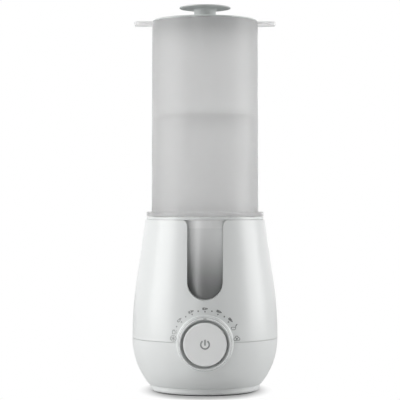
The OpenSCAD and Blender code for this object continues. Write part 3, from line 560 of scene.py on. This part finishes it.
# Push button: a crowned face with a rolled edge on a stem with a key that stops it turning
buttonBack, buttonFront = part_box("power_button")
button = {"crown": 0.25, "edge": 0.8, "plateT": 2.2, "stemR": 8.0, "keyW": 2.0, "keyH": 0.9,
          "keyEnd": 44.0, "keyGap": 0.1, "keyEdge": 0.2, "backRound": 0.3, "rootRound": 0.5,
          "stemRound": 0.4, "faceShares": (0.25, 0.5, 0.7, 0.88)}
buttonR, faceF, stemF = buttonFront.x / mm, -buttonBack.y / mm, -buttonFront.y / mm


def faceCrown(r):
    return faceF - button["crown"] * (r / buttonR) ** 2


plateF = faceF - button["plateT"]
buttonPiece = turnPiece("pushButton", [
    (0, faceF, 0), *[(buttonR * share, faceCrown(buttonR * share), 0) for share in button["faceShares"]],
    (buttonR, faceCrown(buttonR), button["edge"]), (buttonR, plateF, button["backRound"]),
    (button["stemR"], plateF, button["rootRound"]), (button["stemR"], stemF, button["stemRound"]),
    (0, stemF, 0)], "dial", closed=False)
keyFront, keyTop = plateF - button["keyGap"], button["stemR"] + button["keyH"]
keyFoot, keyEnd = button["stemR"] / 2, button["keyEnd"]
keyMiddle = (0, -(keyFront + keyEnd) / 2, dialZ / mm + (keyTop + keyFoot) / 2)
key = softBar((button["keyW"], keyFront - keyEnd, keyTop - keyFoot), keyMiddle, 0, button["keyEdge"])
combine(buttonPiece, key, "UNION")
finishPiece(buttonPiece, "button", "button_grey", "power_button")

# Power symbol printed on the button: an open ring and a bar
power = {"outR": 4.25, "stroke": 1.25, "gap": 35, "barTop": 4.3, "barFoot": -0.8, "endShare": 0.9,
         "sunk": 0.05, "proud": 0.04}
arcStep, arcLeast = 6, 4  # degrees for each step of an arc, and its least number of steps
inkBack, inkFront = faceF - power["sunk"], faceF + power["proud"]


def aroundDial(r, f, turn):  # a place by its turn clockwise from the dial's top
    return r * mm * math.sin(turn), -f * mm, dialZ + r * mm * math.cos(turn)


def beforeDial(corners, f):  # a flat outline stood up in front of the dial
    return [((x * mm, -f * mm, dialZ + z * mm), radius * mm) for x, z, radius in corners]


# A short box swept round the dial's axis, with closed ends
def arcMark(name, innerR, outerR, back, front, start, sweep):
    corners = block(innerR, back, outerR, front, 0)
    mark = traceOutline(name, [(aroundDial(r, f, start), radius) for r, f, radius in corners])
    bpy.ops.mesh.select_all(action="SELECT")
    bpy.ops.mesh.spin(steps=max(arcLeast, round(math.degrees(sweep) / arcStep)), angle=sweep,
                      center=(0, 0, dialZ), axis=(0, -1, 0))
    bpy.ops.mesh.select_all(action="SELECT")
    bpy.ops.mesh.fill_holes(sides=4)
    closeSeams()
    return mark


gapTurn = math.radians(power["gap"])
half = power["stroke"] / 2
powerRing = arcMark("powerSymbol", power["outR"] - power["stroke"], power["outR"], inkBack, inkFront,
                    gapTurn, 2 * math.pi - 2 * gapTurn)
barCorners = block(-half, power["barFoot"], half, power["barTop"], half * power["endShare"])
powerBar = traceOutline("powerBar", beforeDial(barCorners, inkBack))
fillOutline(raised=(0, (inkBack - inkFront) * mm, 0))
makeActive(powerRing)
powerBar.select_set(True)
bpy.ops.object.join()
finishPiece(powerRing, "button", "button_grey", ink="symbolInk")

# Pointer on the crest of the dial's lip
pointer = {"inR": 21.5, "outR": 22.25, "deep": 0.7, "proud": 0.03, "half": 3.4}
pointerMark = arcMark("dialPointer", pointer["inR"], pointer["outR"], lipF - pointer["deep"],
                      lipF + pointer["proud"], math.radians(-pointer["half"]),
                      math.radians(2 * pointer["half"]))
finishPiece(pointerMark, "dial", "trim_white", ink="symbolInk")

# Cove that blends the bezel into the housings and covers the gap round it
cove = {"innerR": 23.05, "outerR": 24.75, "front": 68.85, "steps": 120, "rings": 6, "wall": 0.2,
        "start": 100.0, "lift": 0.02}


def layOn(piece, offset, *shells):  # drops a piece straight back on the housings
    makeActive(piece)
    drop = piece.modifiers.new("drop", "SHRINKWRAP")
    drop.wrap_method = "PROJECT"
    drop.use_project_y = True
    drop.target = nodes[shells[0]]
    drop.auxiliary_target = nodes[shells[-1]]
    drop.offset = offset * mm
    bpy.ops.object.modifier_apply(modifier=drop.name)


def thicken(piece, wall):  # the wall grows backwards from the front face
    makeActive(piece)
    if piece.data.polygons[0].normal.y > 0:
        bpy.ops.object.mode_set(mode="EDIT")
        bpy.ops.mesh.select_all(action="SELECT")
        bpy.ops.mesh.flip_normals()
        bpy.ops.object.mode_set(mode="OBJECT")
    skin = piece.modifiers.new("skin", "SOLIDIFY")
    skin.thickness = wall * mm
    skin.offset = -1
    bpy.ops.object.modifier_apply(modifier=skin.name)
    bpy.ops.object.mode_set(mode="EDIT")
    closeSeams()


clearSelection()
bpy.ops.mesh.primitive_circle_add(vertices=cove["steps"], radius=cove["outerR"] * mm,
                                  rotation=(math.pi / 2, math.pi / cove["steps"], 0),
                                  location=(0, -cove["start"] * mm, dialZ))
covePiece = bpy.context.object
covePiece.name = "bezelCove"
bpy.ops.object.transform_apply(location=True, rotation=True, scale=True)
layOn(covePiece, cove["lift"], "upper_housing", "lower_housing")
bpy.ops.object.mode_set(mode="EDIT")
bpy.ops.mesh.select_all(action="SELECT")
coveRings = [k / cove["rings"] for k in range(cove["rings"] + 1)]
# Each ring is smaller and stands further out, on a hollow curve
for before, after in zip(coveRings, coveRings[1:]):
    radii = [cove["outerR"] + (cove["innerR"] - cove["outerR"]) * share for share in (before, after)]
    rise = (1 - after ** 2) / (1 - before ** 2)
    bpy.ops.mesh.extrude_region_move()
    bpy.ops.transform.resize(value=(radii[1] / radii[0], rise, radii[1] / radii[0]),
                             center_override=(0, -cove["front"] * mm, dialZ))
bpy.ops.mesh.select_all(action="SELECT")
bpy.ops.mesh.normals_make_consistent(inside=False)
thicken(covePiece, cove["wall"])
finishPiece(covePiece, "base", "housing_white")

# Scale printed round the dial: dots between the settings and a picture for each setting
scale = {"stroke": 0.42, "proud": 0.06, "ink": 0.1, "start": 100.0, "dotHalf": 0.62, "dotRound": 0.5,
         "dotOut": 28.2, "dots": (-60, -36, -12, 12, 36), "bottleOut": 29.7,
         "bottles": (-48, -24, 0, 24, 48), "tickOut": 27.0, "milkFoot": -1.7, "milkLeast": 0.3,
         "milkStep": 0.4, "milkHalf": 0.45, "milkRound": 0.1}


def star(arms, reach, width):  # bars that cross in the middle, as one outline
    corners = []
    for k in range(arms):
        turn = 2 * math.pi * k / arms
        across, along = (math.cos(turn), -math.sin(turn)), (math.sin(turn), math.cos(turn))
        notch = width / 2 / math.sin(math.pi / arms)
        for side in (-1, 1):
            corners.append((along[0] * reach + across[0] * side * width / 2,
                            along[1] * reach + across[1] * side * width / 2, 0))
        between = turn + math.pi / arms
        corners.append((notch * math.sin(between), notch * math.cos(between), 0))
    return corners


# Outlines along and out from the dial, in mm, and whether each is drawn as a line
bottlePicture = [(block(-2.3, -1.0, 0.6, 1.0, 0.5), True), (block(0.75, -0.85, 1.2, 0.85, 0.1), False),
                 ([(1.35, -0.6, 0.1), (2.4, -0.25, 0.2), (2.4, 0.25, 0.2), (1.35, 0.6, 0.1)], False)]
dotHalf = scale["dotHalf"]
dotPicture = [(block(-dotHalf, -dotHalf, dotHalf, dotHalf, scale["dotRound"]), False)]
tickPicture = [([(-0.75, 0.65, 0.1), (0.75, 0.65, 0.1), (0.0, -0.85, 0.1)], False)]
frostPicture = [(block(-2.7, -2.7, 2.7, 2.7, 2.6), True), (star(6, 1.8, 0.45), False)]
jarPicture = [(block(-1.9, -2.0, 0.9, 1.0, 0.5), True), (block(-1.6, 1.25, 0.6, 1.75, 0.1), False),
              (block(1.5, 0.4, 2.2, 1.1, 0.3), False), (block(1.5, -1.2, 2.2, -0.5, 0.3), False)]
bowlPicture = [([(-2.7, 0.4, 0.1), (-2.3, -2.2, 1.3), (1.3, -2.2, 1.3), (1.7, 0.4, 0.1)], True),
               ([(0.8, 0.85, 0.2), (1.5, 0.65, 0.2), (3.0, 2.7, 0.3), (2.3, 3.1, 0.3)], False)]
steamPicture = [([(-2.8, -1.8, 0.8), (-2.8, 0.6, 0.9), (-1.3, 0.8, 0.2), (-1.1, 2.2, 0.9), (1.1, 2.2, 0.9),
                  (1.3, 0.8, 0.2), (2.8, 0.6, 0.9), (2.8, -1.8, 0.8)], True),
                (block(-0.8, -1.0, 0.8, 0.2, 0.5), False)]
# Each setting is a picture, how far out it stands, its turn from the dial's top and its lean
settings = [(dotPicture, scale["dotOut"], angle, angle) for angle in scale["dots"]]
for k, angle in enumerate(scale["bottles"]):  # each bottle is fuller than the last
    milkTop = scale["milkFoot"] + scale["milkLeast"] + scale["milkStep"] * k
    milk = block(scale["milkFoot"], -scale["milkHalf"], milkTop, scale["milkHalf"], scale["milkRound"])
    settings.append((bottlePicture + [(milk, False)], scale["bottleOut"], angle, angle))
settings += [(tickPicture, scale["tickOut"], angle, angle) for angle in scale["bottles"]]
settings += [(frostPicture, 27.6, -82, 0), (jarPicture, 28.1, -70, 0), (bowlPicture, 28.4, 62, 0),
             (steamPicture, 27.7, 82, 0)]
marks = []
for picture, out, angle, lean in settings:
    turn, tilt = math.radians(angle), math.radians(lean)
    for corners, drawn in picture:
        places = [(out * math.sin(turn) + u * math.cos(tilt) + v * math.sin(tilt),
                   out * math.cos(turn) - u * math.sin(tilt) + v * math.cos(tilt), radius)
                  for u, v, radius in corners]
        mark = traceOutline("mark", beforeDial(places, scale["start"]))
        fillOutline()
        if drawn:
            bpy.ops.mesh.inset(thickness=scale["stroke"] * mm)
            bpy.ops.mesh.delete(type="ONLY_FACE")
        marks.append(mark)
clearSelection()
for mark in marks:
    mark.select_set(True)
scalePiece = marks[0]
bpy.context.view_layer.objects.active = scalePiece
bpy.ops.object.join()
scalePiece.name = "dialScale"
bpy.ops.object.mode_set(mode="EDIT")
bpy.ops.mesh.select_all(action="SELECT")
bpy.ops.mesh.normals_make_consistent(inside=False)
layOn(scalePiece, scale["proud"], "upper_housing")
thicken(scalePiece, scale["ink"])
finishPiece(scalePiece, "base", "housing_white", ink="scaleInk")

# Camera level with the tube's lower third, straight in front
shot = {"distance": 1.386, "height": 0.167, "lens": 138.6, "sensor": 36, "shiftX": -0.0125,
        "shiftY": 0.0105}
clearSelection()
bpy.ops.object.camera_add(location=(0, -shot["distance"], shot["height"]), rotation=(math.pi / 2, 0, 0))
camera = bpy.context.object
camera.data.lens = shot["lens"]
camera.data.sensor_width = shot["sensor"]
camera.data.shift_x = shot["shiftX"]
camera.data.shift_y = shot["shiftY"]
bpy.context.scene.camera = camera

# Soft boxes, all aimed at the middle of the object
lampAim = Vector((0, 0, 0.16))
lamps = {
    "keyLeft": {"at": (-1.17, -0.3, 0.45), "size": (0.9, 1.25), "power": 14.5},
    "stripFront": {"at": (-0.38, -1.27, 0.4), "size": (0.08, 1.0), "power": 1.9},
    "fillRight": {"at": (1.2, 0.0, 0.42), "size": (0.8, 1.25), "power": 13.3},
    "topSoft": {"at": (0.0, 0.1, 1.3), "size": (1.2, 1.2), "power": 3.3},
}
for name, lamp in lamps.items():
    facing = (lampAim - Vector(lamp["at"])).to_track_quat("-Z", "Y").to_euler()
    bpy.ops.object.light_add(type="AREA", location=lamp["at"], rotation=facing)
    softBox = bpy.context.object
    softBox.name = name
    softBox.data.shape = "RECTANGLE"
    softBox.data.size, softBox.data.size_y = lamp["size"]
    softBox.data.energy = lamp["power"]
    softBox.visible_transmission = False  # the frosted tube shows the even backdrop, not the lamps

# Even white surroundings that are seen, mirrored and shine through, but light only a little
ambient = 0.05
world = bpy.data.worlds.new("studio")
bpy.context.scene.world = world
world.use_nodes = True
sky = world.node_tree.nodes["Background"]
cameraRay = Wire(world.node_tree).node("LightPath", out="Is Camera Ray")
glossyRay = cameraRay.node("LightPath", out="Is Glossy Ray")
throughRay = cameraRay.node("LightPath", out="Is Transmission Ray")
seen = cameraRay.math("MINIMUM", cameraRay + glossyRay + throughRay, 1.0)
cameraRay.join(ambient + seen * (1.0 - ambient), sky.inputs["Strength"])
sky.inputs["Color"].default_value = (1, 1, 1, 1)

# Floor: white to the camera, with the soft shade of the object close round its foot, partly real shadow and partly
# painted shade in a darker floor colour there, which also throws back less light
ground = {"size": 6, "gloss": 0.8, "oval": (1.12, 0.8, 1.0), "shadeIn": 0.045, "shadeOut": 0.069,
          "shadeGlow": 0.08, "under": (0.5, 0.5, 0.5), "around": (0.86, 0.86, 0.86),
          "shade": (0.52, 0.52, 0.52)}
clearSelection()
bpy.ops.mesh.primitive_plane_add(size=ground["size"])
floor = bpy.context.object
floor.name = "floor"
mat, shader, place = startFinish("paleFloor", {"Roughness": ground["gloss"]})
cameraRay = place.node("LightPath", out="Is Camera Ray")
far = place.node("MapRange", {"interpolation_type": "SMOOTHSTEP"},
                 {0: distance(place, ground["oval"]), 1: ground["shadeIn"], 2: ground["shadeOut"],
                  3: ground["shadeGlow"], 4: 1.0})
bounce = blendColors(place, far, ground["under"], ground["around"])
place.join(blendColors(place, cameraRay, bounce, ground["shade"]), shader.inputs["Base Color"])
glow = place.node("Emission", None, {"Color": (1, 1, 1, 1), "Strength": 1.0})
mixed = place.node("MixShader", None,
                   {0: cameraRay * far, 1: Wire(mat.node_tree, shader.outputs[0]), 2: glow})
place.join(mixed, mat.node_tree.nodes["Material Output"].inputs["Surface"])
floor.data.materials.append(mat)
print("studio set")

bpy.context.scene.view_settings.view_transform = "Standard"
